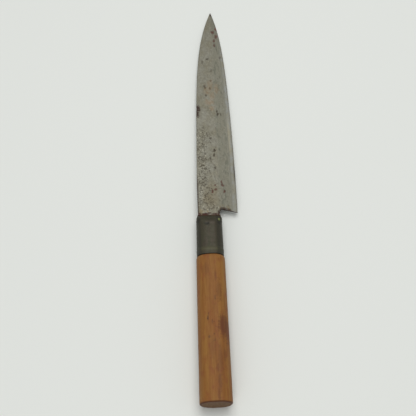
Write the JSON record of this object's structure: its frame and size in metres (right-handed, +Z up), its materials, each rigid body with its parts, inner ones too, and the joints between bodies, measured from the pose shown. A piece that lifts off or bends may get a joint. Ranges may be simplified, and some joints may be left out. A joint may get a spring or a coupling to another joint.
{
  "type": "boning knife",
  "caption": "Single-bevel boning knife: slim pointed blade with a stepped heel, metal ferrule and tapered oval wooden handle, lying on its flat side.",
  "frame": {"origin": "middle of the whole knife's box, on the table that it lies on", "axes": "+X towards the tip, +Y towards the spine side, +Z up, out of the bevelled face"},
  "size_m": [0.2744, 0.0286, 0.0209],
  "materials": {
    "iron": "worn, stained and lightly pitted",
    "steel": "ground, with light rust",
    "patinated_brass": "dark olive patina",
    "packing": "rust-stained resin",
    "wood": "bare, worn and hand-stained"
  },
  "bodies": {
    "root": {"blade_iron": "iron", "edge_steel": "steel", "ferrule": "patinated_brass", "neck_seal": "packing", "handle": "wood"}
  },
  "joints": []
}
